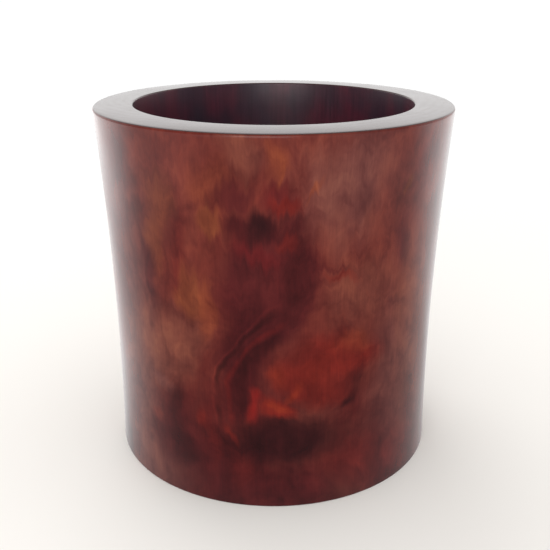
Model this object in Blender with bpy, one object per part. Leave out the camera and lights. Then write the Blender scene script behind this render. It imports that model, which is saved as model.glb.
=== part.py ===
"""A turned hardwood brush pot: a thick waisted wall that is open right through, a floor disc
let into it from below, and a tapered plug that fills the centre of the disc.

Metres, +Z up. The turning axis is Z, and the pot stands on its foot ring at Z = 0.
"""

import math

import bpy

# The wall's outside
HEIGHT = 0.180
RIM_RADIUS = 0.089
WAIST_DRAW_IN = 0.0055  # how far the waist lies inside the rim
FOOT_FLARE = 0.0006  # how far the foot stands out past the waist
WAIST_HEIGHT = 0.045

# The wall's inside
RIM_WIDTH = 0.0195
FOOT_RING_WIDTH = 0.012  # from the outside of the foot to the rebate for the disc
SEAT_WIDTH = 0.0055  # the ledge that the disc is pushed up against
SEAT_HEIGHT = 0.013

# The disc and its plug
FLOOR_HEIGHT = 0.019  # the floor that the brushes stand on
BASE_RECESS = 0.0025  # how far the disc's underside is held off the table
PLUG_RADIUS = 0.010  # at its lower, wider end
PLUG_TAPER = 0.001  # how much the radius shrinks from the lower end to the upper

# Fits and edges
CLEARANCE = 0.0003
RIM_OUTER_ROUND = 0.0012
RIM_INNER_ROUND = 0.0008
FOOT_ROUND = 0.0006
EDGE_CHAMFER = 0.0004

# How finely the round shapes are divided
WALL_SEGMENTS = 72
PLUG_SEGMENTS = 36
BODY_CURVE_STEPS = 6
ROUND_STEPS = 3
MERGE_DISTANCE = 0.00001
SMOOTH_ANGLE = math.radians(30)

# Worked out from the values above
WAIST_RADIUS = RIM_RADIUS - WAIST_DRAW_IN
FOOT_RADIUS = WAIST_RADIUS + FOOT_FLARE
MOUTH_RADIUS = RIM_RADIUS - RIM_WIDTH
REBATE_RADIUS = FOOT_RADIUS - FOOT_RING_WIDTH
FLOOR_BORE_RADIUS = REBATE_RADIUS - SEAT_WIDTH

# Colours as linear red, green, blue
WALL_COLOUR = (0.105, 0.026, 0.020)
DISC_COLOUR = (0.075, 0.022, 0.017)
PLUG_COLOUR = (0.055, 0.016, 0.013)
POLISHED_ROUGHNESS = 0.30
RUBBED_ROUGHNESS = 0.45


def clear_scene():
    for found in list(bpy.data.objects):
        bpy.data.objects.remove(found)


def wood(name, colour, roughness):
    material = bpy.data.materials.new(name)
    material.use_nodes = True
    shader = material.node_tree.nodes["Principled BSDF"]
    shader.inputs["Base Color"].default_value = (*colour, 1)
    shader.inputs["Roughness"].default_value = roughness
    shader.inputs["Metallic"].default_value = 0
    return material


def turned(name, profile, segments, material):
    """One closed piece turned about Z. The profile is a list of (radius, height) that runs
    down the outside. It either starts and ends on the axis or comes back to its start."""
    points = [(radius, 0, height) for radius, height in profile]
    edges = [(i, i + 1) for i in range(len(points) - 1)]
    if profile[0][0] > 0:
        edges.append((len(points) - 1, 0))
    mesh = bpy.data.meshes.new(name)
    mesh.from_pydata(points, edges, [])
    piece = bpy.data.objects.new(name, mesh)
    bpy.context.scene.collection.objects.link(piece)
    mesh.materials.append(material)
    screw = piece.modifiers.new("turning", "SCREW")
    screw.axis = "Z"
    screw.steps = segments
    screw.render_steps = segments
    screw.use_merge_vertices = True
    screw.merge_threshold = MERGE_DISTANCE
    keep_turned_shape(piece)
    return piece


def keep_turned_shape(piece):
    """Makes the turning the piece's own mesh, and shades it smooth between its edges."""
    evaluated = piece.evaluated_get(bpy.context.evaluated_depsgraph_get())
    solid = bpy.data.meshes.new_from_object(evaluated)
    solid.name = piece.name
    solid.shade_smooth()
    solid.set_sharp_from_angle(angle=SMOOTH_ANGLE)
    piece.modifiers.clear()
    piece.data = solid


def arc(centre_radius, centre_height, size, first_angle, last_angle):
    """Points of a rounded edge in the profile, from one angle to another, ends included."""
    points = []
    for step in range(ROUND_STEPS + 1):
        angle = first_angle + (last_angle - first_angle) * step / ROUND_STEPS
        radius = centre_radius + size * math.cos(angle)
        height = centre_height + size * math.sin(angle)
        points.append((radius, height))
    return points


def outside_radius(height):
    """The waisted outline: two parabolas that meet at the waist, where both are upright."""
    if height < WAIST_HEIGHT:
        share = 1 - height / WAIST_HEIGHT
        return WAIST_RADIUS + FOOT_FLARE * share**2
    share = (height - WAIST_HEIGHT) / (HEIGHT - WAIST_HEIGHT)
    return WAIST_RADIUS + WAIST_DRAW_IN * share**2


def outside_curve():
    """The outline between the rounded edges, downwards, with the waist as one of its points."""
    top = HEIGHT - RIM_OUTER_ROUND
    above = [top + (WAIST_HEIGHT - top) * i / BODY_CURVE_STEPS for i in range(1, BODY_CURVE_STEPS)]
    below = (WAIST_HEIGHT + FOOT_ROUND) / 2
    return [(outside_radius(z), z) for z in [*above, WAIST_HEIGHT, below]]


def wall_profile():
    rim_corner = outside_radius(HEIGHT) - RIM_OUTER_ROUND
    outer_rim = arc(rim_corner, HEIGHT - RIM_OUTER_ROUND, RIM_OUTER_ROUND, math.pi / 2, 0)
    foot_corner = outside_radius(0) - FOOT_ROUND
    foot = arc(foot_corner, FOOT_ROUND, FOOT_ROUND, 0, -math.pi / 2)
    mouth_corner = MOUTH_RADIUS + RIM_INNER_ROUND
    inner_rim = arc(mouth_corner, HEIGHT - RIM_INNER_ROUND, RIM_INNER_ROUND, math.pi, math.pi / 2)
    rebate_and_bore = [
        (REBATE_RADIUS + EDGE_CHAMFER, 0),
        (REBATE_RADIUS, EDGE_CHAMFER),
        (REBATE_RADIUS, SEAT_HEIGHT),
        (FLOOR_BORE_RADIUS, SEAT_HEIGHT),
        (FLOOR_BORE_RADIUS, FLOOR_HEIGHT),
    ]
    return outer_rim + outside_curve() + foot + rebate_and_bore + inner_rim


def plug_radius(height):
    share = (height - BASE_RECESS) / (FLOOR_HEIGHT - BASE_RECESS)
    return PLUG_RADIUS - PLUG_TAPER * share


def disc_profile():
    """The flange fills the rebate, and the step above it fills the bottom of the bore."""
    flange_radius = REBATE_RADIUS - CLEARANCE
    flange_top = SEAT_HEIGHT - CLEARANCE
    step_radius = FLOOR_BORE_RADIUS - CLEARANCE
    return [
        (step_radius - EDGE_CHAMFER, FLOOR_HEIGHT),
        (step_radius, FLOOR_HEIGHT - EDGE_CHAMFER),
        (step_radius, flange_top),
        (flange_radius - EDGE_CHAMFER, flange_top),
        (flange_radius, flange_top - EDGE_CHAMFER),
        (flange_radius, BASE_RECESS + EDGE_CHAMFER),
        (flange_radius - EDGE_CHAMFER, BASE_RECESS),
        (plug_radius(BASE_RECESS) + CLEARANCE, BASE_RECESS),
        (plug_radius(FLOOR_HEIGHT) + CLEARANCE, FLOOR_HEIGHT),
    ]


def plug_profile():
    top = FLOOR_HEIGHT - EDGE_CHAMFER
    bottom = BASE_RECESS + EDGE_CHAMFER
    return [
        (0, FLOOR_HEIGHT),
        (plug_radius(top) - EDGE_CHAMFER, FLOOR_HEIGHT),
        (plug_radius(top), top),
        (plug_radius(bottom), bottom),
        (plug_radius(bottom) - EDGE_CHAMFER, BASE_RECESS),
        (0, BASE_RECESS),
    ]


def pot_wall():
    material = wood("polished_hardwood", WALL_COLOUR, POLISHED_ROUGHNESS)
    return turned("pot_wall", wall_profile(), WALL_SEGMENTS, material)


def base_disc():
    material = wood("disc_hardwood", DISC_COLOUR, RUBBED_ROUGHNESS)
    return turned("base_disc", disc_profile(), WALL_SEGMENTS, material)


def base_plug():
    material = wood("plug_hardwood", PLUG_COLOUR, RUBBED_ROUGHNESS)
    return turned("base_plug", plug_profile(), PLUG_SEGMENTS, material)


clear_scene()
pot_wall()
base_disc()
base_plug()
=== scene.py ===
import math
from collections import namedtuple

import bmesh
import bpy
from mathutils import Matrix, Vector


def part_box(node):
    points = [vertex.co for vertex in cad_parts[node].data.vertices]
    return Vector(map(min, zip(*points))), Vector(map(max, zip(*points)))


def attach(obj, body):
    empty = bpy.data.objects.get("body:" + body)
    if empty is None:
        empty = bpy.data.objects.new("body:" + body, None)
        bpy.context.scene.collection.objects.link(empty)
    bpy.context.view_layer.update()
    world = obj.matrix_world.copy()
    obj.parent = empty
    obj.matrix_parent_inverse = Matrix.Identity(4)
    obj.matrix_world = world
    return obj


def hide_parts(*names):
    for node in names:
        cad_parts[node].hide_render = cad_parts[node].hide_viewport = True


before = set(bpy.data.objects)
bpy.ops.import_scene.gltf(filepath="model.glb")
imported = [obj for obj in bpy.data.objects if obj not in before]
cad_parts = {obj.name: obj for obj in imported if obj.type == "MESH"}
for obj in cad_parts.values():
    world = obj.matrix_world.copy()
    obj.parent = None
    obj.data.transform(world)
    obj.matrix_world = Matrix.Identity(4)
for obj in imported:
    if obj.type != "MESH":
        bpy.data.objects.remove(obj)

# The looks of a turned hardwood brush pot: a waisted wall with a broad rim, a floor disc let in
# from below, and a tapered plug. Lengths are in metres, angles in degrees. The front is at -Y.

# Camera
LENS = 53.1
CAMERA_DISTANCE = 0.4097  # from the pot's axis
CAMERA_ABOVE_RIM = 0.0591
CAMERA_PITCH = 20.35
CAMERA_SHIFT = 0.0023  # leaves the pot a hair left of the middle

# Shape
SIDES = 256
RIM_CROWN = 0.0006  # how far the rim's outer edge lies below its inner edge
RIM_RINGS = 6
RIM_OUTER_ROUND = 0.0012
RIM_INNER_ROUND = 0.0008
FOOT_ROUND = 0.0006
SMALL_ROUND = 0.0004
ROUND_SEGMENTS = 5
SMALL_ROUND_SEGMENTS = 3
WAIST_HEIGHT = 0.045
SMOOTH_ANGLE = math.radians(30)
NEAR = 0.00002  # how close a vertex must be to count as at a height
RING_NEAR = 0.0001  # the same for an edge of a ring
FACING = 0.7  # a normal's upright part, from which a face counts as level


def ring_radius(node, height, pick, reach=0.0012):
    """The widest or narrowest radius of a CAD node near one height."""
    vertices = [v.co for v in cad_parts[node].data.vertices]
    return pick(math.hypot(v.x, v.y) for v in vertices if abs(v.z - height) < reach)


def ring_height(node, radius, pick):
    """The highest or lowest vertex of a CAD node on one radius."""
    vertices = [v.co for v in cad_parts[node].data.vertices]
    return pick(v.z for v in vertices if abs(math.hypot(v.x, v.y) - radius) < NEAR)


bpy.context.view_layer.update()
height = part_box("pot_wall")[1].z
rim_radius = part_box("pot_wall")[1].x
mouth_radius = ring_radius("pot_wall", height, min)
foot_radius = ring_radius("pot_wall", 0, max)
rebate_radius = ring_radius("pot_wall", 0, min)
waist_radius = ring_radius("pot_wall", WAIST_HEIGHT, max)
seat_height = ring_height("pot_wall", rebate_radius, max)
disc_low, disc_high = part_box("base_disc")
floor_bore_radius = ring_radius("pot_wall", disc_high.z, min)
flange_radius = ring_radius("base_disc", disc_low.z, max)
step_radius = ring_radius("base_disc", disc_high.z, max)
flange_height = ring_height("base_disc", step_radius, min)
hole_low_radius = ring_radius("base_disc", disc_low.z, min)
hole_high_radius = ring_radius("base_disc", disc_high.z, min)
plug_low, plug_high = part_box("base_plug")
plug_low_radius = ring_radius("base_plug", plug_low.z, max)
plug_high_radius = ring_radius("base_plug", plug_high.z, max)


# Camera

def place_camera():
    lens = bpy.data.cameras.new("camera")
    lens.lens = LENS
    lens.shift_x = CAMERA_SHIFT
    lens.clip_start = 0.01
    camera = bpy.data.objects.new("camera", lens)
    camera.location = (0, -CAMERA_DISTANCE, height + CAMERA_ABOVE_RIM)
    camera.rotation_euler = (math.radians(90 - CAMERA_PITCH), 0, 0)
    bpy.context.scene.collection.objects.link(camera)
    bpy.context.scene.camera = camera


# Modelling helpers

def start_cylinder(name, radius, low, high, sides=SIDES):
    """A capped cylinder in edit mode, its object at the origin, with nothing else selected."""
    bpy.ops.object.select_all(action="DESELECT")
    middle = (low + high) / 2
    bpy.ops.mesh.primitive_cylinder_add(
        vertices=sides, radius=radius, depth=high - low, location=(0, 0, middle))
    piece = bpy.context.object
    piece.name = name
    piece.data.name = name
    bpy.ops.object.transform_apply(location=True, rotation=False, scale=False)
    bpy.ops.object.mode_set(mode="EDIT")
    return piece


def pick(piece, kind, wanted):
    """Selects only the vertices, edges or faces that wanted() is true of."""
    bpy.ops.mesh.select_all(action="DESELECT")
    bpy.ops.mesh.select_mode(type={"verts": "VERT", "edges": "EDGE", "faces": "FACE"}[kind])
    mesh = bmesh.from_edit_mesh(piece.data)
    for item in getattr(mesh, kind):
        if wanted(item):
            item.select = True
    mesh.select_flush_mode()
    bmesh.update_edit_mesh(piece.data)


def radius_of(vertex):
    return math.hypot(vertex.co.x, vertex.co.y)


def on_ring(radius, level):
    """Picks the edges of one ring."""
    def wanted(edge):
        return all(
            abs(radius_of(v) - radius) < RING_NEAR and abs(v.co.z - level) < RING_NEAR
            for v in edge.verts)
    return wanted


def pick_cap(piece, level):
    """Selects the flat end at one height."""
    def wanted(face):
        return len(face.verts) > 4 and abs(face.verts[0].co.z - level) < NEAR
    pick(piece, "faces", wanted)


def inset(width, lift=0.0):
    """Insets the selected end, then lifts what is inside the new ring."""
    bpy.ops.mesh.inset(thickness=width, depth=0)
    if lift:
        bpy.ops.transform.translate(value=(0, 0, lift))


def push(distance):
    bpy.ops.mesh.extrude_region_move(TRANSFORM_OT_translate={"value": (0, 0, distance)})


def cut_ring(level):
    bpy.ops.mesh.select_all(action="SELECT")
    bpy.ops.mesh.bisect(plane_co=(0, 0, level), plane_no=(0, 0, 1))


def draw_in(piece, level, scale):
    """Narrows or widens the piece at one height."""
    pick(piece, "verts", lambda v: abs(v.co.z - level) < NEAR)
    bpy.ops.transform.resize(value=(scale, scale, 1), center_override=(0, 0, level))


def round_ring(piece, radius, level, size, segments=ROUND_SEGMENTS):
    pick(piece, "edges", on_ring(radius, level))
    bpy.ops.mesh.bevel(offset=size, segments=segments, profile=0.5, affect="EDGES")


def join_ends(piece, cuts):
    """Bridges the two open rings that are left where the ends' middles were taken out."""
    pick(piece, "edges", lambda edge: edge.is_boundary)
    bpy.ops.mesh.bridge_edge_loops(number_cuts=cuts)


def drop_cap():
    bpy.ops.mesh.delete(type="ONLY_FACE")


def finish_piece():
    bpy.ops.mesh.select_all(action="SELECT")
    bpy.ops.mesh.normals_make_consistent(inside=False)
    bpy.ops.object.mode_set(mode="OBJECT")
    bpy.ops.object.shade_smooth_by_angle(angle=SMOOTH_ANGLE)


# Pieces

WALL_RINGS = 36
BORE_RINGS = 12
FLOOR_RINGS = 4
HOLE_RINGS = 2
PLUG_RINGS = 2
PLUG_SIDES = 96
EDGE_SUPPORT = 0.0010  # flat left beside a rounded edge, so that its shading stays crisp


def outside_radius(level):
    """Two parabolas that meet at the waist, where both are upright."""
    if level < WAIST_HEIGHT:
        return waist_radius + (foot_radius - waist_radius) * (1 - level / WAIST_HEIGHT) ** 2
    share = (level - WAIST_HEIGHT) / (height - WAIST_HEIGHT)
    return waist_radius + (rim_radius - waist_radius) * share ** 2


def turn_wall():
    piece = start_cylinder("pot_wall_turned", rim_radius, 0, height - RIM_CROWN)
    levels = [height * i / WALL_RINGS for i in range(1, WALL_RINGS)]
    levels += [RIM_OUTER_ROUND * 2, height - RIM_CROWN - RIM_OUTER_ROUND * 2]
    for level in levels:
        cut_ring(level)
    for level in [0, *levels]:
        draw_in(piece, level, outside_radius(level) / rim_radius)
    open_mouth(piece)
    open_foot(piece)
    join_ends(piece, BORE_RINGS)
    round_ring(piece, rim_radius, height - RIM_CROWN, RIM_OUTER_ROUND)
    round_ring(piece, mouth_radius, height, RIM_INNER_ROUND)
    round_ring(piece, foot_radius, 0, FOOT_ROUND)
    finish_piece()
    return piece


def open_mouth(piece):
    """The rim, as rings that rise towards the mouth, less and less."""
    pick_cap(piece, height - RIM_CROWN)
    flat = RIM_INNER_ROUND + EDGE_SUPPORT
    step = (rim_radius - mouth_radius - flat) / RIM_RINGS
    for ring in range(RIM_RINGS):
        before, after = 1 - ring / RIM_RINGS, 1 - (ring + 1) / RIM_RINGS
        inset(step, RIM_CROWN * (before ** 2 - after ** 2))
    inset(flat)
    drop_cap()


def open_foot(piece):
    """The foot ring, the rebate for the disc, and the ledge above it."""
    pick_cap(piece, 0)
    inset(FOOT_ROUND + EDGE_SUPPORT)
    inset(foot_radius - rebate_radius - FOOT_ROUND - EDGE_SUPPORT)
    push(seat_height)
    inset(rebate_radius - floor_bore_radius)
    drop_cap()


def turn_disc():
    """The floor: a flange that fills the rebate, a step up into the bore, and the plug's hole."""
    piece = start_cylinder("base_disc_turned", flange_radius, disc_low.z, flange_height)
    pick_cap(piece, flange_height)
    inset(flange_radius - step_radius)
    push(disc_high.z - flange_height)
    open_hole(piece, disc_high.z, step_radius, hole_high_radius)
    open_hole(piece, disc_low.z, flange_radius, hole_low_radius)
    join_ends(piece, HOLE_RINGS)
    for radius, level in [
            (step_radius, disc_high.z), (flange_radius, flange_height), (flange_radius, disc_low.z),
            (hole_high_radius, disc_high.z), (hole_low_radius, disc_low.z)]:
        round_ring(piece, radius, level, SMALL_ROUND, SMALL_ROUND_SEGMENTS)
    finish_piece()
    return piece


def open_hole(piece, level, radius, hole_radius):
    """Rings across one flat side of the disc, then the hole in their middle."""
    pick_cap(piece, level)
    inset(SMALL_ROUND + EDGE_SUPPORT)
    across = radius - hole_radius - 2 * (SMALL_ROUND + EDGE_SUPPORT)
    for _ in range(FLOOR_RINGS):
        inset(across / FLOOR_RINGS)
    inset(SMALL_ROUND + EDGE_SUPPORT)
    drop_cap()


def turn_plug():
    """The tapered plug, driven in from below, with its edges broken."""
    piece = start_cylinder("base_plug_turned", plug_low_radius, plug_low.z, plug_high.z, PLUG_SIDES)
    draw_in(piece, plug_high.z, plug_high_radius / plug_low_radius)
    for level in (plug_high.z, plug_low.z):
        pick_cap(piece, level)
        inset(SMALL_ROUND + EDGE_SUPPORT)
        for _ in range(PLUG_RINGS):
            inset(plug_high_radius / (PLUG_RINGS + 1))
    for radius, level in [(plug_high_radius, plug_high.z), (plug_low_radius, plug_low.z)]:
        round_ring(piece, radius, level, SMALL_ROUND, SMALL_ROUND_SEGMENTS)
    finish_piece()
    return piece


# Node helpers

class Nodes:
    """Builds one node tree. Each method adds a node and gives back its output."""

    def __init__(self, tree):
        self.tree = tree

    def feed(self, socket, value):
        if isinstance(value, bpy.types.NodeSocket):
            self.tree.links.new(value, socket)
        else:
            socket.default_value = value

    def add(self, kind, inputs=(), **settings):
        made = self.tree.nodes.new("ShaderNode" + kind)
        for name, value in settings.items():
            setattr(made, name, value)
        for name, value in dict(inputs).items():
            self.feed(made.inputs[name], value)
        return made

    def maths(self, operation, a, b=0.0, c=0.0):
        return self.add("Math", {0: a, 1: b, 2: c}, operation=operation).outputs[0]

    def vectors(self, operation, a, b=(0, 0, 0), c=(0, 0, 0)):
        return self.add("VectorMath", {0: a, 1: b, 2: c}, operation=operation).outputs["Vector"]

    def range(self, value, low, high, to_low=0.0, to_high=1.0):
        """An even, eased change from to_low to to_high as value goes from low to high."""
        inputs = {
            "Value": value, "From Min": low, "From Max": high, "To Min": to_low, "To Max": to_high}
        return self.add("MapRange", inputs, interpolation_type="SMOOTHSTEP").outputs["Result"]

    def blend(self, share, under, over, way="MIX"):
        made = self.add("Mix", data_type="RGBA", blend_type=way)
        self.feed(made.inputs["Factor"], share)
        self.feed(made.inputs[6], under)
        self.feed(made.inputs[7], over)
        return made.outputs[2]

    def tint(self, colour, by):
        return self.blend(1.0, colour, by, "MULTIPLY")

    def between(self, share, first, second):
        """A number that goes from the first to the second as share goes from 0 to 1."""
        return self.add("Mix", {0: share, 2: first, 3: second}).outputs[0]

    def place(self):
        return self.add("TexCoord").outputs["Object"]

    def split(self, at):
        return self.add("SeparateXYZ", {0: at}).outputs

    def length(self, at):
        return self.add("VectorMath", {0: at}, operation="LENGTH").outputs["Value"]

    def distance(self, at, to):
        return self.add("VectorMath", {0: at, 1: to}, operation="DISTANCE").outputs["Value"]

    def spot(self, at):
        """1 at the origin, falling to 0 a unit away."""
        return self.add("TexGradient", {"Vector": at}, gradient_type="SPHERICAL").outputs["Fac"]

    def glow(self, strength):
        return self.add("Emission", {"Color": grey(1), "Strength": strength}).outputs[0]

    def noise(self, at, size, detail=2.0, roughness=0.5):
        """Noise whose lumps are about size metres across, and its three-way version."""
        inputs = {"Vector": at, "Scale": 1 / size, "Detail": detail, "Roughness": roughness}
        made = self.add("TexNoise", inputs)
        return made.outputs[0], made.outputs[1]

    def fibre(self, at, across, along, detail=2.0):
        """Noise stretched upright, its lumps across wide and along tall."""
        stretched = self.mapped(at, (1 / across, 1 / across, 1 / along))
        inputs = {"Vector": stretched, "Scale": 1, "Detail": detail}
        return self.add("TexNoise", inputs).outputs[0]

    def mapped(self, at, scale=(1, 1, 1), place=(0, 0, 0), turn=(0, 0, 0), way="POINT"):
        inputs = {"Vector": at, "Scale": scale, "Location": place, "Rotation": turn}
        return self.add("Mapping", inputs, vector_type=way).outputs["Vector"]

    def relief(self, level, strength, distance):
        """A bump from a level of 0 to 1, as a normal."""
        inputs = {"Height": level, "Strength": strength, "Distance": distance}
        return self.add("Bump", inputs).outputs[0]


def grey(value):
    return (value, value, value, 1)


# Stage

FLOOR_RADIUS = 8
FLOOR_COLOUR = (0.900, 0.873, 0.832, 1)
FLOOR_SIDES = 96
BACKDROP = 1.03
SKY = 0.95
# The floor starts to glow like the backdrop at the first distance and is lost in it at the second.
FADE_NEAR, FADE_FAR = 0.05, 0.9

# How bright the floor shows in a polished surface. It turns from dim in front to bright behind
# over one stretch of Y close to the pot, and over another one far out.
GLOSS_BEHIND, GLOSS_IN_FRONT = 1.6, 0.30
CLOSE_TURN = (-0.13, 0.06)
FAR_TURN = (-0.05, 0.25)
CLOSE, FAR = 0.15, 0.5
LEFT_GLOW, RIGHT_GLOW = 0.8, 0.35  # how much brighter it is far out to each side
GLOW_STARTS, GLOW_FULL = 0.30, 0.52
SHADE_AT = (0.20, 0.0, 0.0)  # the middle of the pot's shadow, which shows darker in the polish
SHADE_EDGE = (0.03, 0.19)
SHADE_SHARE = 0.55

# The same for the room, by direction: bright behind, a little dimmer low down, darker above
WALL_BEHIND = 1.48
WALL_TURN = (-0.2, 0.6)
LOW_DOWN, LOW_SHARE = (0.09, 0.16), 0.82
ABOVE, ABOVE_SHARE = (0.17, 0.6), 0.45


def lay_floor():
    bpy.ops.object.select_all(action="DESELECT")
    bpy.ops.mesh.primitive_circle_add(
        vertices=FLOOR_SIDES, radius=FLOOR_RADIUS, fill_type="NGON")
    floor = bpy.context.object
    floor.name = "floor"
    floor.data.materials.append(floor_finish())


def floor_finish():
    material = bpy.data.materials.new("pale_floor")
    material.use_nodes = True
    nodes = Nodes(material.node_tree)
    shader = material.node_tree.nodes["Principled BSDF"]
    shader.inputs["Base Color"].default_value = FLOOR_COLOUR
    shader.inputs["Roughness"].default_value = 0.95
    shader.inputs["Specular IOR Level"].default_value = 0.1
    place = nodes.place()
    away = nodes.length(place)
    seen = nodes.add("MixShader", {
        0: nodes.range(away, FADE_NEAR, FADE_FAR), 1: shader.outputs[0], 2: nodes.glow(BACKDROP)})
    card = nodes.glow(floor_shine(nodes, place, away))
    glossy = nodes.add("LightPath").outputs["Is Glossy Ray"]
    both = nodes.add("MixShader", {0: glossy, 1: seen.outputs[0], 2: card}).outputs[0]
    nodes.feed(material.node_tree.nodes["Material Output"].inputs["Surface"], both)
    return material


def floor_shine(nodes, place, away):
    parts = nodes.split(place)
    close_side = nodes.range(parts["Y"], *CLOSE_TURN, GLOSS_IN_FRONT, GLOSS_BEHIND)
    far_side = nodes.range(parts["Y"], *FAR_TURN, GLOSS_IN_FRONT, GLOSS_BEHIND)
    shine = nodes.between(nodes.range(away, CLOSE, FAR), close_side, far_side)
    for side, glow in [(-1, LEFT_GLOW), (1, RIGHT_GLOW)]:
        further = nodes.range(parts["X"], side * GLOW_STARTS, side * GLOW_FULL, 0.0, glow)
        shine = nodes.maths("ADD", shine, further)
    from_shade = nodes.distance(place, SHADE_AT)
    return nodes.maths("MULTIPLY", shine, nodes.range(from_shade, *SHADE_EDGE, SHADE_SHARE, 1.0))


def set_light():
    world = bpy.data.worlds.new("studio")
    world.use_nodes = True
    nodes = Nodes(world.node_tree)
    background = world.node_tree.nodes["Background"]
    background.inputs["Color"].default_value = grey(1)
    path = nodes.add("LightPath")
    direction = nodes.split(nodes.add("TexCoord").outputs["Generated"])
    behind = nodes.range(direction["Y"], *WALL_TURN, GLOSS_IN_FRONT, WALL_BEHIND)
    low_down = nodes.range(direction["Z"], *LOW_DOWN, LOW_SHARE, 1.0)
    above = nodes.range(direction["Z"], *ABOVE, 1.0, ABOVE_SHARE)
    shine = nodes.maths("MULTIPLY", behind, nodes.maths("MULTIPLY", low_down, above))
    strength = nodes.between(path.outputs["Is Glossy Ray"], SKY, shine)
    strength = nodes.between(path.outputs["Is Camera Ray"], strength, BACKDROP)
    nodes.feed(background.inputs["Strength"], strength)
    bpy.context.scene.world = world
    bpy.context.scene.view_settings.view_transform = "Standard"
    hang_lamp("softbox", place=(-0.4, 0.9, 1.3), size=1.1, power=6.0, shows=False)
    hang_lamp("window", place=(-0.16, -1.19, 0.34), size=0.9, power=6.5, shows=True)


def hang_lamp(name, place, size, power, shows):
    """A round soft lamp aimed at the middle of the pot."""
    lamp = bpy.data.lights.new(name, "AREA")
    lamp.shape = "DISK"
    lamp.size = size
    lamp.energy = power
    holder = bpy.data.objects.new(name, lamp)
    holder.location = place
    aim = Vector((0, 0, height / 2)) - holder.location
    holder.rotation_euler = aim.to_track_quat("-Z", "Y").to_euler()
    holder.visible_camera = False
    holder.visible_glossy = shows
    bpy.context.scene.collection.objects.link(holder)


# Finishes

DARK = (0.024, 0.002, 0.003)
WINE = (0.050, 0.004, 0.005)
PLUM = (0.066, 0.006, 0.007)
BLOOD = (0.092, 0.007, 0.006)
EMBER = (0.145, 0.009, 0.005)
SCARLET = (0.185, 0.007, 0.005)
RUSSET = (0.122, 0.019, 0.013)
BROWN = (0.148, 0.038, 0.025)
ROSE = (0.132, 0.038, 0.031)
OCHRE = (0.142, 0.030, 0.012)
ORANGE = (0.180, 0.034, 0.014)
FLAME = (0.190, 0.017, 0.006)
CRIMSON = (0.088, 0.005, 0.006)
MAROON = (0.100, 0.022, 0.020)

MM = 0.001
STAIN_DEPTH = 0.07  # how deep a stain reaches into the wood, so that it stays on its own side

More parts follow.
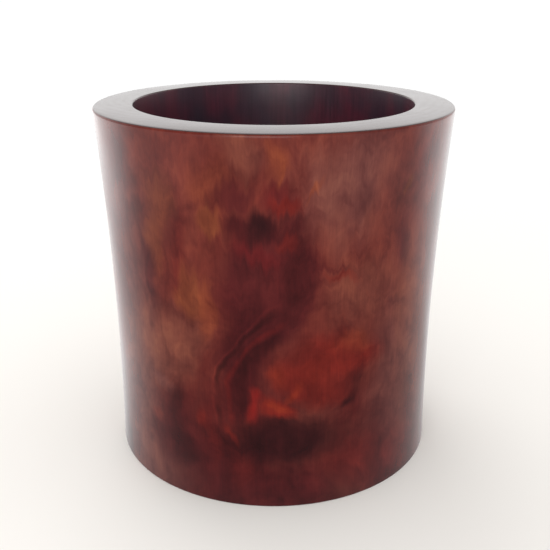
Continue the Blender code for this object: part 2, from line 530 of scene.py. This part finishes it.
# A patch of the outside. angle is in degrees from the front, rising to the right. height, wide and
# tall are in millimetres, the last two from its middle to its edge. tilt leans its top to the
# right. A stain is a coloured patch: edge is the share of it that fades, and strength is how well
# it covers.
Patch = namedtuple("Patch", "angle height wide tall tilt")
Stain = namedtuple("Stain", "angle height wide tall tilt edge strength colour")
FRONT_STAINS = [
    # shoulders and sides
    Stain(22, 156, 42, 36, 0, 0.9, 0.90, ROSE),
    Stain(36, 146, 22, 34, 0, 0.9, 0.60, RUSSET),
    Stain(28, 106, 30, 28, 0, 0.9, 0.65, BROWN),
    Stain(-34, 160, 34, 30, 0, 0.9, 0.70, RUSSET),
    Stain(-35, 148, 10, 24, 0, 0.8, 0.60, OCHRE),
    Stain(-19, 156, 14, 18, 0, 0.8, 0.50, ORANGE),
    Stain(-54, 122, 28, 70, 0, 0.9, 0.85, MAROON),
    Stain(-46, 72, 34, 34, 12, 0.8, 0.95, BROWN),
    Stain(-30, 80, 16, 30, 10, 0.8, 0.80, BROWN),
    Stain(-54, 34, 30, 50, 0, 0.9, 0.85, ROSE),
    Stain(-46, 8, 34, 18, 0, 0.9, 0.80, ROSE),
    Stain(47, 88, 12, 48, 0, 0.8, 0.85, ORANGE),
    Stain(42, 66, 26, 54, 0, 0.9, 0.60, ROSE),
    Stain(56, 70, 24, 80, 0, 0.9, 0.75, BROWN),
    # the dark wood that runs down the middle
    Stain(-2, 112, 27, 38, 8, 0.35, 0.92, PLUM),
    Stain(-8, 86, 18, 28, 24, 0.5, 0.90, WINE),
    Stain(-10, 64, 11, 26, 16, 0.6, 0.90, WINE),
    Stain(-30, 34, 18, 24, 0, 0.9, 0.65, WINE),
    Stain(3, 35, 40, 22, 0, 0.7, 0.95, DARK),
    Stain(-6, 32, 14, 16, 0, 0.8, 0.70, DARK),
    Stain(-4, 4, 56, 22, 0, 0.8, 0.85, WINE),
    Stain(28, 20, 30, 18, 0, 0.8, 0.85, BLOOD),
    Stain(10, 13, 26, 13, 0, 0.8, 0.60, WINE),
    Stain(29, 63, 9, 12, 0, 0.8, 0.70, RUSSET),
    Stain(50, 18, 20, 18, 0, 0.9, 0.60, BLOOD),
    Stain(-12, 20, 12, 14, 0, 0.8, 0.50, BLOOD),
    Stain(44, 128, 8, 20, 0, 0.8, 0.75, PLUM),
    Stain(-51, 164, 14, 26, 0, 0.9, 0.80, PLUM),
    Stain(51, 160, 12, 26, 0, 0.9, 0.70, BLOOD),
    # streaks down the left side
    Stain(-42, 112, 5, 28, 0, 0.6, 0.80, PLUM),
    Stain(-29, 120, 6, 34, 0, 0.8, 0.60, BLOOD),
    Stain(-26, 106, 9, 18, 6, 0.6, 0.80, OCHRE),
    Stain(-22, 98, 5, 22, 8, 0.6, 0.65, ORANGE),
    Stain(-19, 141, 9, 8, 25, 0.6, 0.85, OCHRE),
    Stain(-17, 150, 8, 7, 0, 0.8, 0.60, WINE),
    Stain(-38, 128, 7, 26, 0, 0.8, 0.60, OCHRE),
    Stain(-40, 26, 9, 12, 0, 0.7, 0.65, WINE),
    Stain(-31, 24, 8, 16, 0, 0.8, 0.45, DARK),
    Stain(-40, 34, 5, 5, 20, 0.8, 0.70, RUSSET),
    Stain(-39, 55, 12, 5, 30, 0.8, 0.60, ROSE),
    Stain(-21, 36, 4.5, 26, 1, 1.0, 0.70, BLOOD),
    Stain(-23.5, 44, 4.0, 7, 10, 0.8, 0.50, EMBER),
    Stain(-15, 40, 2.4, 9, -12, 1.0, 0.50, EMBER),
    # the crown of the figure
    Stain(-9, 172, 14, 14, 0, 0.8, 0.60, BROWN),
    Stain(0, 169, 7, 13, 0, 0.8, 0.80, ORANGE),
    Stain(1, 166, 1.6, 13, 0, 0.7, 0.80, ORANGE),
    Stain(6, 160, 8, 16, 0, 0.8, 0.50, RUSSET),
    Stain(-11, 153, 13, 9, 10, 0.7, 0.80, PLUM),
    Stain(2, 153, 11, 11, 0, 0.8, 0.80, CRIMSON),
    Stain(4, 150, 8, 5, 0, 0.8, 0.70, EMBER),
    Stain(11, 158, 2, 9, 30, 0.8, 0.60, ORANGE),
    Stain(-6, 140, 16, 9, 0, 0.5, 0.90, WINE),
    Stain(-4, 141, 7, 12, 0, 0.8, 0.90, DARK),
    Stain(-6, 129, 15, 8, 16, 0.8, 0.90, CRIMSON),
    Stain(5, 143, 8, 6, 0, 0.8, 0.70, PLUM),
    Stain(3, 134, 5, 6, 30, 0.8, 0.45, EMBER),
    Stain(17, 122, 14, 3, 12, 0.9, 0.50, PLUM),
    Stain(20, 116, 12, 4, 12, 0.8, 0.50, EMBER),
    Stain(43, 156, 3, 7, 10, 0.7, 0.80, OCHRE),
    # the flame
    Stain(20, 76, 27, 14, 14, 0.7, 0.85, EMBER),
    Stain(12, 66, 24, 13, 30, 0.7, 0.80, EMBER),
    Stain(24, 82, 12, 8, 10, 0.8, 0.40, ORANGE),
    Stain(3, 71, 7, 7, 40, 0.9, 0.55, FLAME),
    Stain(2, 55, 12, 8, 25, 0.6, 0.90, EMBER),
    Stain(2, 56, 8, 4, 35, 0.8, 0.80, FLAME),
    Stain(-6.5, 56, 5.5, 13, 8, 1.0, 0.85, SCARLET),
    Stain(-4.5, 63, 5, 4.5, 30, 1.0, 0.60, SCARLET),
    Stain(7, 64, 2.4, 10, 48, 1.0, 0.80, FLAME),
    Stain(22.5, 54, 5, 6, 20, 1.0, 0.75, DARK),
    Stain(12, 79, 5, 8, 60, 0.8, 0.40, BLOOD),
    Stain(54, 36, 9, 12, 0, 0.8, 0.50, PLUM),
]


def start_finish(name, roughness, ior=1.5):
    material = bpy.data.materials.new(name)
    material.use_nodes = True
    shader = material.node_tree.nodes["Principled BSDF"]
    shader.inputs["Roughness"].default_value = roughness
    shader.inputs["IOR"].default_value = ior
    return material, Nodes(material.node_tree), shader


def drift(nodes, at, amounts):
    """Shifts coordinates by noise: each (size, amount) is its lumps and how far it pushes."""
    for size, amount in amounts:
        push_by = nodes.vectors("SUBTRACT", nodes.noise(at, size)[1], (0.5, 0.5, 0.5))
        at = nodes.vectors("MULTIPLY_ADD", push_by, (amount,) * 3, at)
    return at


def within(nodes, at, patch):
    """Coordinates that are 0 at the middle of a patch and a unit long at its edge."""
    angle = math.radians(patch.angle)
    middle = (waist_radius * math.sin(angle), -waist_radius * math.cos(angle), patch.height * MM)
    size = (patch.wide * MM, STAIN_DEPTH, patch.tall * MM)
    return nodes.mapped(at, size, middle, (0, math.radians(patch.tilt), angle), "TEXTURE")


def lay_stain(nodes, at, colour, stain):
    fade = nodes.spot(within(nodes, at, stain))
    share = nodes.range(fade, 0, stain.edge, 0, stain.strength)
    return nodes.blend(share, colour, (*stain.colour, 1))


def ramp(nodes, value, stops):
    """A colour ramp whose stops are (position, colour)."""
    made = nodes.add("ValToRGB", {"Fac": value})
    elements = made.color_ramp.elements
    while len(elements) < len(stops):
        elements.new(0.5)
    for element, (position, colour) in zip(elements, stops):
        element.position = position
        element.color = (*colour, 1)
    return made.outputs["Color"]


def figured_wood():
    """The polished outside, whose figure is the dark heartwood of one log."""
    material, nodes, shader = start_finish("polished_figured_hardwood", 0.22, 1.35)
    place = nodes.place()
    parts = nodes.split(place)
    spikes = nodes.maths("SUBTRACT", nodes.fibre(place, 0.0032, 0.040), 0.5)
    spikes = nodes.maths("MULTIPLY", spikes, nodes.range(parts["Z"], 0.08, 0.13, 0.003, 0.012))
    up = nodes.add("CombineXYZ", {"Z": spikes}).outputs[0]
    spiked = nodes.vectors("ADD", place, up)
    flowing = drift(nodes, spiked, [(0.045, 0.020), (0.014, 0.007), (0.005, 0.002)])

    cloud = nodes.fibre(flowing, 0.030, 0.060, 3)
    colour = ramp(nodes, cloud, [
        (0.30, DARK), (0.40, WINE), (0.48, BLOOD), (0.56, RUSSET), (0.70, BROWN)])
    ground = nodes.blend(nodes.range(parts["Z"], 0.02, 0.12), (*WINE, 1), (*RUSSET, 1))
    colour = nodes.blend(nodes.range(parts["Y"], 0.0, -0.06, 0.25, 0.75), colour, ground)
    for stain in FRONT_STAINS:
        colour = lay_stain(nodes, flowing, colour, stain)
    loose = drift(nodes, place, [(0.040, 0.014), (0.012, 0.004)])
    colour = nodes.tint(colour, bowed_lines(nodes, loose))
    colour = nodes.tint(colour, grain_tone(nodes, place, flowing))
    nodes.feed(shader.inputs["Base Color"], colour)

    smudge = nodes.noise(place, 0.030, 3)[0]
    nodes.feed(shader.inputs["Roughness"], nodes.maths("MULTIPLY_ADD", smudge, 0.10, 0.17))
    pores = nodes.range(nodes.fibre(place, 0.0005, 0.006), 0.30, 0.42)
    nodes.feed(shader.inputs["Normal"], nodes.relief(pores, 0.15, 0.00005))
    return material


PLAIN = (1, 1, 1)  # leaves what it multiplies as it is
BOW = Patch(8, 55, 38, 48.5, 0)
BOW_REACH = Patch(-12, 74, 22, 42, 24)  # the part of the outside where the bowed lines show
BOW_SPREAD = 0.8
BOW_SHADE, BOW_RED = (0.75, 0.72, 0.72), (1.45, 1.10, 0.95)
BOW_DARK, BOW_BRIGHT = (0.58, 0.58, 0.58), (1.35, 1.35, 1.25)
STREAK_DARK = (0.84, 0.80, 0.82)
WAVE_COUNT = 12


def bowed_lines(nodes, at):
    """Fine dark and red lines that bow round the left of the flame, as a colour to multiply by."""
    away = nodes.maths("MULTIPLY", nodes.length(within(nodes, at, BOW)), BOW_SPREAD)
    lines = ramp(nodes, away, [
        (0.50, PLAIN), (0.56, BOW_SHADE), (0.64, BOW_SHADE), (0.685, BOW_RED), (0.70, BOW_RED),
        (0.73, PLAIN), (0.76, PLAIN), (0.785, BOW_DARK), (0.805, BOW_DARK), (0.822, PLAIN),
        (0.832, BOW_BRIGHT), (0.85, PLAIN)])
    near = nodes.range(nodes.spot(within(nodes, at, BOW_REACH)), 0, 0.5)
    patchy = nodes.range(nodes.noise(at, 0.012)[0], 0.36, 0.56, 0.35, 1.0)
    return nodes.blend(nodes.maths("MULTIPLY", near, patchy), (*PLAIN, 1), lines)


def grain_tone(nodes, place, flowing):
    """Light and dark of the grain, as a colour to multiply by: clouds, wavy lines, then fibres."""
    clouds = nodes.noise(flowing, 0.014, 3, 0.6)[0]
    tone = ramp(nodes, clouds, [
        (0.32, (0.70, 0.60, 0.66)), (0.5, PLAIN), (0.68, (1.28, 1.42, 1.28))])
    bands = nodes.fibre(flowing, 0.008, 0.050, 3)
    bands = ramp(nodes, bands, [(0.3, STREAK_DARK), (0.5, PLAIN), (0.7, (1.14, 1.2, 1.15))])
    slow = nodes.fibre(drift(nodes, place, [(0.030, 0.012)]), 0.035, 0.080)
    waves = nodes.maths("PINGPONG", nodes.maths("MULTIPLY", slow, WAVE_COUNT), 1.0)
    lines = ramp(nodes, waves, [
        (0.0, STREAK_DARK), (0.35, PLAIN), (0.8, PLAIN), (1.0, (1.12, 1.12, 1.08))])
    where = nodes.range(nodes.noise(place, 0.035)[0], 0.42, 0.6)
    lines = nodes.blend(where, grey(1), lines)
    fine = nodes.fibre(place, 0.0009, 0.015, 2)
    fine = ramp(nodes, fine, [(0.3, (0.93, 0.91, 0.93)), (0.7, (1.06, 1.07, 1.06))])
    for layer in (bands, lines, fine):
        tone = nodes.tint(tone, layer)
    return tone


TURNING_PITCH = 0.0011  # from one turning mark to the next
RING_PITCH = 0.0022  # from the middle of one growth ring on the rim to its edge
RAYS_ROUND, RAYS_OUT = 55.0, 90.0  # how close the rays lie, and how short they are
# Where the pith lies, as x and y: the disc's own pith is where its plug is.
PITH, DISC_PITH, PLUG_PITH = (-0.012, 0.018), (0.004, 0.002), (-0.031, -0.018)
SOOT, GRIME = (0.012, 0.008, 0.009), (0.040, 0.018, 0.014)
RIM_WOOD, RIM_PALE = (0.036, 0.013, 0.011), (0.070, 0.029, 0.023)
FOOT_PALE, FOOT_DEEP = (0.085, 0.036, 0.028), (0.035, 0.012, 0.011)
FLOOR_PALE, FLOOR_DEEP = (0.080, 0.028, 0.024), (0.036, 0.012, 0.012)
BASE_PALE, BASE_DEEP = (0.120, 0.050, 0.036), (0.055, 0.019, 0.014)
PLUG_TOP_PALE, PLUG_TOP_DEEP = (0.060, 0.022, 0.020), (0.026, 0.010, 0.010)
PLUG_BASE_PALE, PLUG_BASE_DEEP = (0.080, 0.030, 0.022), (0.035, 0.012, 0.010)
UV_MARGIN = 0.005


def from_pith(nodes, at, pith):
    return nodes.vectors("MULTIPLY", nodes.vectors("SUBTRACT", at, (*pith, 0)), (1, 1, 0))


def turning_marks(nodes, at):
    return nodes.maths("SINE", nodes.maths("MULTIPLY", at, 2 * math.pi / TURNING_PITCH))


def end_grain():
    """The rim, cut across the log: faint growth rings and pores."""
    material, nodes, shader = start_finish("polished_end_grain", 0.2, 1.46)
    place = nodes.place()
    curled = drift(nodes, place, [(0.050, 0.010), (0.012, 0.003)])
    away = nodes.length(from_pith(nodes, curled, PITH))
    rings = nodes.maths("PINGPONG", nodes.maths("DIVIDE", away, RING_PITCH), 1.0)
    rings = nodes.maths("MULTIPLY", rings, nodes.noise(place, 0.012)[0])
    colour = nodes.blend(rings, (*RIM_WOOD, 1), (*RIM_PALE, 1))
    pores = nodes.range(nodes.noise(place, 0.0007, 1)[0], 0.28, 0.40)
    colour = nodes.blend(pores, (*DARK, 1), colour)
    nodes.feed(shader.inputs["Base Color"], colour)
    worn = nodes.noise(place, 0.016, 4, 0.6)[0]
    rough = nodes.maths("MULTIPLY_ADD", worn, 0.14, 0.07)
    nodes.feed(shader.inputs["Roughness"], nodes.maths("MULTIPLY_ADD", rings, 0.06, rough))
    nodes.feed(shader.inputs["Normal"], nodes.relief(pores, 0.12, 0.00004))
    return material


def stained_bore():
    """The inside, stained almost black-red and only wiped smooth, with turning marks."""
    material, nodes, shader = start_finish("stained_bore", 0.4, 1.55)
    place = nodes.place()
    flowing = drift(nodes, place, [(0.040, 0.012), (0.010, 0.003)])
    patches = nodes.fibre(flowing, 0.024, 0.045, 3)
    colour = ramp(nodes, patches, [
        (0.30, (0.034, 0.018, 0.030)), (0.46, (0.046, 0.016, 0.028)), (0.60, (0.080, 0.014, 0.027)),
        (0.76, (0.088, 0.018, 0.030))])
    turning = turning_marks(nodes, nodes.split(place)["Z"])
    streaks = nodes.fibre(place, 0.0012, 0.030)
    tone = ramp(nodes, streaks, [(0.3, (0.82, 0.82, 0.84)), (0.7, (1.15, 1.12, 1.12))])
    colour = nodes.tint(colour, tone)
    nodes.feed(shader.inputs["Base Color"], colour)
    smear = nodes.fibre(place, 0.008, 0.060, 3)
    nodes.feed(shader.inputs["Roughness"], nodes.maths("MULTIPLY_ADD", smear, 0.20, 0.28))
    marks = nodes.maths("MULTIPLY_ADD", turning, 0.15, nodes.maths("MULTIPLY", streaks, 0.8))
    nodes.feed(shader.inputs["Normal"], nodes.relief(marks, 0.25, 0.00010))
    return material


def rubbed_end_grain(name, pale, deep, pith, stain_colour):
    """Unpolished wood cut across the log: growth rings, rays, turning marks, scuffs and stains."""
    material, nodes, shader = start_finish(name, 0.5, 1.5)
    place = nodes.place()
    curled = drift(nodes, place, [(0.060, 0.012), (0.015, 0.0025)])
    flat = from_pith(nodes, curled, pith)
    away = nodes.length(flat)
    year = nodes.noise(nodes.add("CombineXYZ", {"X": away}).outputs[0], 0.0035, 3, 0.6)[0]
    colour = nodes.blend(nodes.range(year, 0.34, 0.62), (*deep, 1), (*pale, 1))
    sides = nodes.split(flat)
    bearing = nodes.maths("ARCTAN2", sides["Y"], sides["X"])
    fan = nodes.add("CombineXYZ", {
        "X": nodes.maths("MULTIPLY", bearing, RAYS_ROUND),
        "Y": nodes.maths("MULTIPLY", away, RAYS_OUT)}).outputs[0]
    rays = nodes.add("TexNoise", {"Vector": fan, "Scale": 1, "Detail": 2}).outputs[0]
    tone = ramp(nodes, rays, [
        (0.3, (0.86, 0.85, 0.86)), (0.5, PLAIN), (0.72, (1.22, 1.24, 1.22))])
    colour = nodes.tint(colour, tone)
    smear = nodes.noise(place, 0.026, 4, 0.6)[0]
    colour = nodes.blend(nodes.range(smear, 0.48, 0.68, 0.0, 0.75), colour, (*stain_colour, 1))
    pores = nodes.range(nodes.noise(place, 0.0008, 1)[0], 0.28, 0.40)
    colour = nodes.blend(pores, (*deep, 1), colour)
    nodes.feed(shader.inputs["Base Color"], colour)
    nodes.feed(shader.inputs["Roughness"], nodes.maths("MULTIPLY_ADD", smear, 0.30, 0.32))
    turning = turning_marks(nodes, nodes.length(nodes.vectors("MULTIPLY", place, (1, 1, 0))))
    marks = nodes.maths("MULTIPLY_ADD", turning, 0.15, pores)
    nodes.feed(shader.inputs["Normal"], nodes.relief(marks, 0.3, 0.00008))
    return material


OUTSIDE, RIM, BORE, FOOT = range(4)  # the wall's material slots


def finish_wall(piece):
    """Gives each face of the wall its finish."""
    foot = rubbed_end_grain("worn_foot_ring", FOOT_PALE, FOOT_DEEP, PITH, SOOT)
    for material in (figured_wood(), end_grain(), stained_bore(), foot):
        piece.data.materials.append(material)
    for face in piece.data.polygons:
        across = Vector((face.center.x, face.center.y, 0))
        outward = face.normal.dot(across.normalized())
        if face.center.z < seat_height + NEAR and (face.normal.z < -FACING or outward < 0):
            face.material_index = FOOT
        elif face.normal.z > FACING:
            face.material_index = RIM
        elif outward < 0:
            face.material_index = BORE
        else:
            face.material_index = OUTSIDE


def unrolled(radius, level, zone):
    """How far a point lies along the wall's section, from the ledge down and out and up and in."""
    if zone == "rebate":
        return seat_height - level
    if zone == "outside":
        return seat_height + radius - rebate_radius + level
    edge = height - RIM_CROWN - RIM_OUTER_ROUND
    start = seat_height + rim_radius - rebate_radius + edge
    if zone == "rim":
        return start + rim_radius - radius + level - edge
    start += height - edge
    if zone == "bore":
        return start + rim_radius - radius + height - level
    start += rim_radius - floor_bore_radius + height - seat_height
    return start + radius - floor_bore_radius


def zone_of(face):
    radius, level = math.hypot(face.center.x, face.center.y), face.center.z
    if radius < rebate_radius + NEAR and level < seat_height + NEAR:
        return "ledge" if face.normal.z < -FACING else "rebate"
    if radius < mouth_radius + RIM_INNER_ROUND:
        return "bore"
    return "rim" if level > height - RIM_CROWN - RIM_OUTER_ROUND else "outside"


def bearing_from_back(place):
    return math.atan2(place.x, place.y) % (2 * math.pi)


def lay_out_wall(piece):
    """A UV map that unrolls the wall once round, cut down the back and round the hidden ledge."""
    layer = piece.data.uv_layers.new(name="OFBake")
    whole = unrolled(rebate_radius, seat_height, "ledge")
    for face in piece.data.polygons:
        zone, middle = zone_of(face), bearing_from_back(face.center)
        for loop in face.loop_indices:
            place = piece.data.vertices[piece.data.loops[loop].vertex_index].co
            turn = bearing_from_back(place) - middle
            turn = (turn + math.pi) % (2 * math.pi) - math.pi + middle
            along = unrolled(math.hypot(place.x, place.y), place.z, zone)
            share = (turn / (2 * math.pi), along / whole)
            layer.data[loop].uv = [UV_MARGIN + (1 - 2 * UV_MARGIN) * value for value in share]


def finish_floor(piece, above, below):
    """One finish for the side that the brushes stand on, another for the rest."""
    piece.data.materials.append(above)
    piece.data.materials.append(below)
    for face in piece.data.polygons:
        if face.center.z < disc_high.z - 2 * SMALL_ROUND:
            face.material_index = 1


def place_piece(piece, node):
    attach(piece, "root")
    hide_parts(node)


place_camera()
lay_floor()
set_light()
wall = turn_wall()
finish_wall(wall)
lay_out_wall(wall)
place_piece(wall, "pot_wall")
disc = turn_disc()
finish_floor(
    disc,
    rubbed_end_grain("stained_floor", FLOOR_PALE, FLOOR_DEEP, DISC_PITH, SOOT),
    rubbed_end_grain("rubbed_base", BASE_PALE, BASE_DEEP, DISC_PITH, GRIME))
place_piece(disc, "base_disc")
plug = turn_plug()
finish_floor(
    plug,
    rubbed_end_grain("stained_plug", PLUG_TOP_PALE, PLUG_TOP_DEEP, PLUG_PITH, SOOT),
    rubbed_end_grain("rubbed_plug", PLUG_BASE_PALE, PLUG_BASE_DEEP, PLUG_PITH, GRIME))
place_piece(plug, "base_plug")
